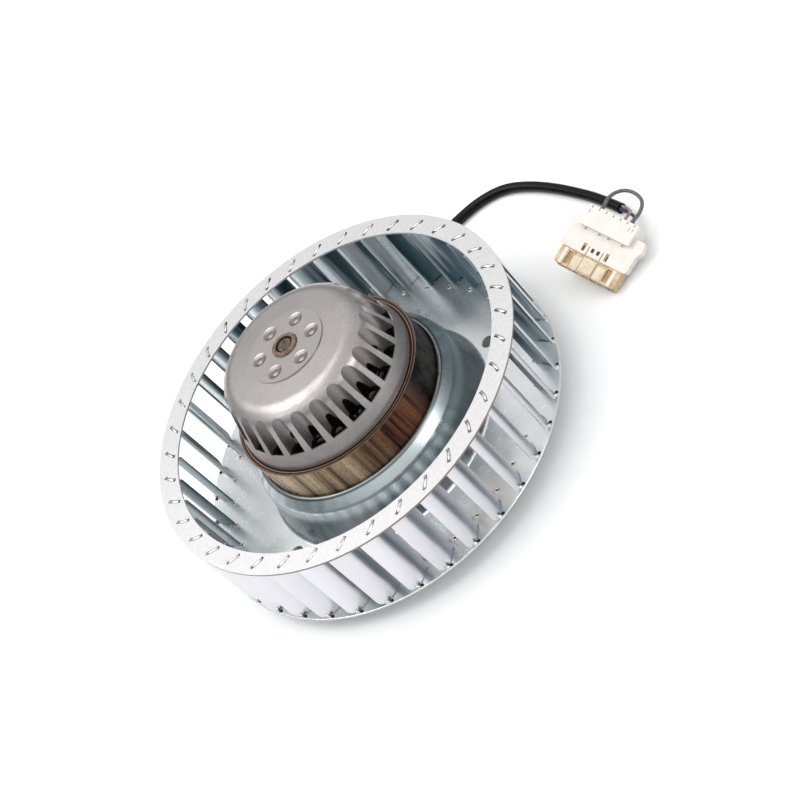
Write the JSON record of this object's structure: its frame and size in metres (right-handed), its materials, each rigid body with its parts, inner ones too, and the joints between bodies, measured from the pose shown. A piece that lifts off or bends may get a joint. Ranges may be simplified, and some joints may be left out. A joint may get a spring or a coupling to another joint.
{
  "type": "blower motor wheel",
  "caption": "Forward-curved galvanised blower wheel on an external-rotor motor with vented aluminium dome, black cable and cream flat connector.",
  "frame": {"origin": "centre of the motor flange's rear face, on the spin axis; the part stands on that face", "axes": "+Z along the spin axis towards the air inlet; -Y is the side the viewer looks from; the cable leaves towards +Y and lies round to +X"},
  "size_m": [0.2688, 0.2, 0.091],
  "materials": {
    "galvanised_blade": "galvanised sheet, rolled",
    "galvanised_ring": "galvanised sheet, matt",
    "galvanised_plate": "galvanised sheet, drawn",
    "lamination_brown": "oxidised laminations, turned",
    "cast_aluminium": "die-cast, as cast",
    "bush_steel": "oxidised steel",
    "shaft_steel": "ground",
    "spring_steel": "phosphated",
    "die_cast_flange": "die-cast, rear face machined",
    "bearing_steel": "ground",
    "core_steel": "stacked laminations",
    "enamelled_copper": "enamelled wire",
    "insulator_plastic": "moulded",
    "protector_plastic": "moulded",
    "gland_rubber": "moulded rubber",
    "cable_black": "extruded jacket",
    "connector_cream": "moulded",
    "connector_amber": "translucent moulded",
    "contact_tin": "tinned strip",
    "wire_grey": "insulated wire",
    "wire_brown": "insulated wire"
  },
  "bodies": {
    "stator": {"motor_flange": "die_cast_flange", "front_bearing": "bearing_steel", "rear_bearing": "bearing_steel", "stator_core": "core_steel", "stator_windings": "enamelled_copper", "end_insulators": "insulator_plastic", "thermal_protector": "protector_plastic", "cable_gland": "gland_rubber", "supply_cable": "cable_black", "connector_housing": "connector_cream", "connector_socket": "connector_amber", "connector_contacts": "contact_tin", "bridge_wire": "wire_grey", "core_wires": "wire_brown"},
    "rotor": {"blade_01": "galvanised_blade", "blade_02": "galvanised_blade", "blade_03": "galvanised_blade", "blade_04": "galvanised_blade", "blade_05": "galvanised_blade", "blade_06": "galvanised_blade", "blade_07": "galvanised_blade", "blade_08": "galvanised_blade", "blade_09": "galvanised_blade", "blade_10": "galvanised_blade", "blade_11": "galvanised_blade", "blade_12": "galvanised_blade", "blade_13": "galvanised_blade", "blade_14": "galvanised_blade", "blade_15": "galvanised_blade", "blade_16": "galvanised_blade", "blade_17": "galvanised_blade", "blade_18": "galvanised_blade", "blade_19": "galvanised_blade", "blade_20": "galvanised_blade", "blade_21": "galvanised_blade", "blade_22": "galvanised_blade", "blade_23": "galvanised_blade", "blade_24": "galvanised_blade", "blade_25": "galvanised_blade", "blade_26": "galvanised_blade", "blade_27": "galvanised_blade", "blade_28": "galvanised_blade", "blade_29": "galvanised_blade", "blade_30": "galvanised_blade", "blade_31": "galvanised_blade", "blade_32": "galvanised_blade", "blade_33": "galvanised_blade", "blade_34": "galvanised_blade", "blade_35": "galvanised_blade", "blade_36": "galvanised_blade", "blade_37": "galvanised_blade", "blade_38": "galvanised_blade", "front_ring": "galvanised_ring", "back_plate": "galvanised_plate", "rotor_stack": "lamination_brown", "rotor_cage": "cast_aluminium", "hub_bush": "bush_steel", "shaft": "shaft_steel", "circlip": "spring_steel", "wave_washer": "spring_steel"}
  },
  "joints": [
    {"name": "rotor_spin", "type": "hinge", "parent": "stator", "child": "rotor", "pos_m": [0, 0, 0.045], "axis": [0, 0, 1], "continuous": true}
  ]
}
